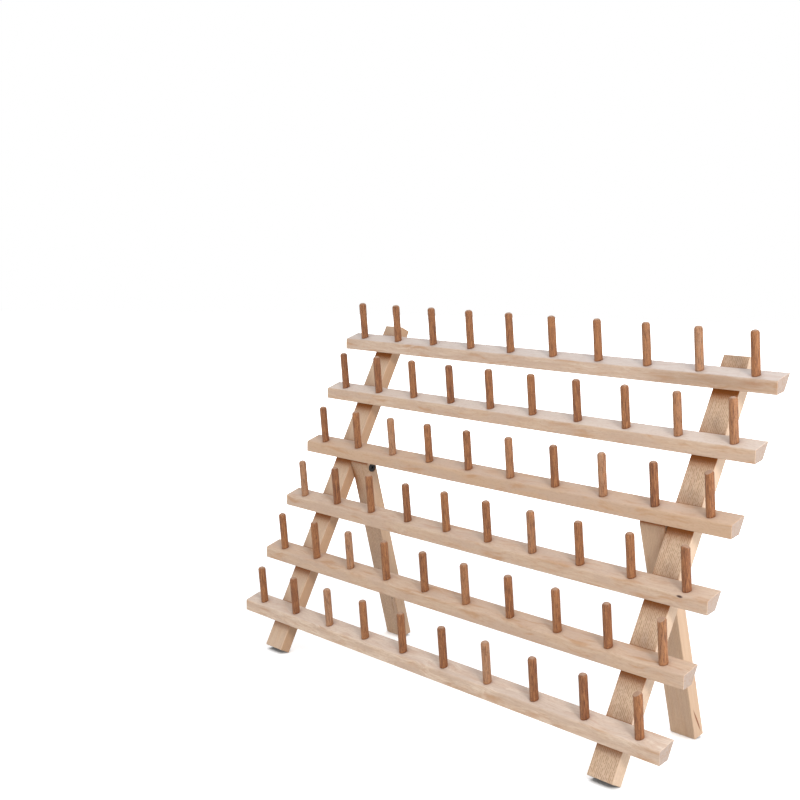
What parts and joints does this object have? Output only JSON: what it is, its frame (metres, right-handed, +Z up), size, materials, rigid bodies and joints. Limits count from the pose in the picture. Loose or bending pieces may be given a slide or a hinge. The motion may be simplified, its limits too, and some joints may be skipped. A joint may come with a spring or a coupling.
{
  "type": "thread rack",
  "caption": "Folding wooden thread rack: stepped rails of dowel pins on two leaning front legs, with a rear leg that turns on a pivot screw inside each.",
  "frame": {"origin": "on the floor, under the middle of the open rack", "axes": "+X along the rails, +Y to the back, +Z up"},
  "size_m": [0.451, 0.136, 0.2918],
  "materials": {
    "rail_wood": "sanded, unfinished pale hardwood",
    "leg_wood": "sanded, unfinished pale hardwood",
    "pin_wood": "raw reddish hardwood dowel",
    "black_steel": "black oxide",
    "zinc_steel": "zinc plated"
  },
  "bodies": {
    "rack_frame": {"bottom_rail": "rail_wood", "bottom_rail_pins": "pin_wood", "fifth_rail": "rail_wood", "fifth_rail_pins": "pin_wood", "fourth_rail": "rail_wood", "fourth_rail_pins": "pin_wood", "third_rail": "rail_wood", "third_rail_pins": "pin_wood", "second_rail": "rail_wood", "second_rail_pins": "pin_wood", "top_rail": "rail_wood", "top_rail_pins": "pin_wood", "left_front_leg": "leg_wood", "left_pivot_screw": "black_steel", "left_spacer_washer": "zinc_steel", "left_rail_screws": "zinc_steel", "right_front_leg": "leg_wood", "right_pivot_screw": "black_steel", "right_spacer_washer": "zinc_steel", "right_rail_screws": "zinc_steel"},
    "left_rear_leg": {"left_rear_leg": "leg_wood"},
    "right_rear_leg": {"right_rear_leg": "leg_wood"}
  },
  "joints": [
    {"name": "left_leg_fold", "type": "hinge", "parent": "rack_frame", "child": "left_rear_leg", "pos_m": [-0.15785, 0.00942, 0.15468], "axis": [-1, 0, 0], "range_deg": [0, 41.1]},
    {"name": "right_leg_fold", "type": "hinge", "parent": "rack_frame", "child": "right_rear_leg", "pos_m": [0.15785, 0.00942, 0.15468], "axis": [-1, 0, 0], "range_deg": [0, 41.1]}
  ]
}
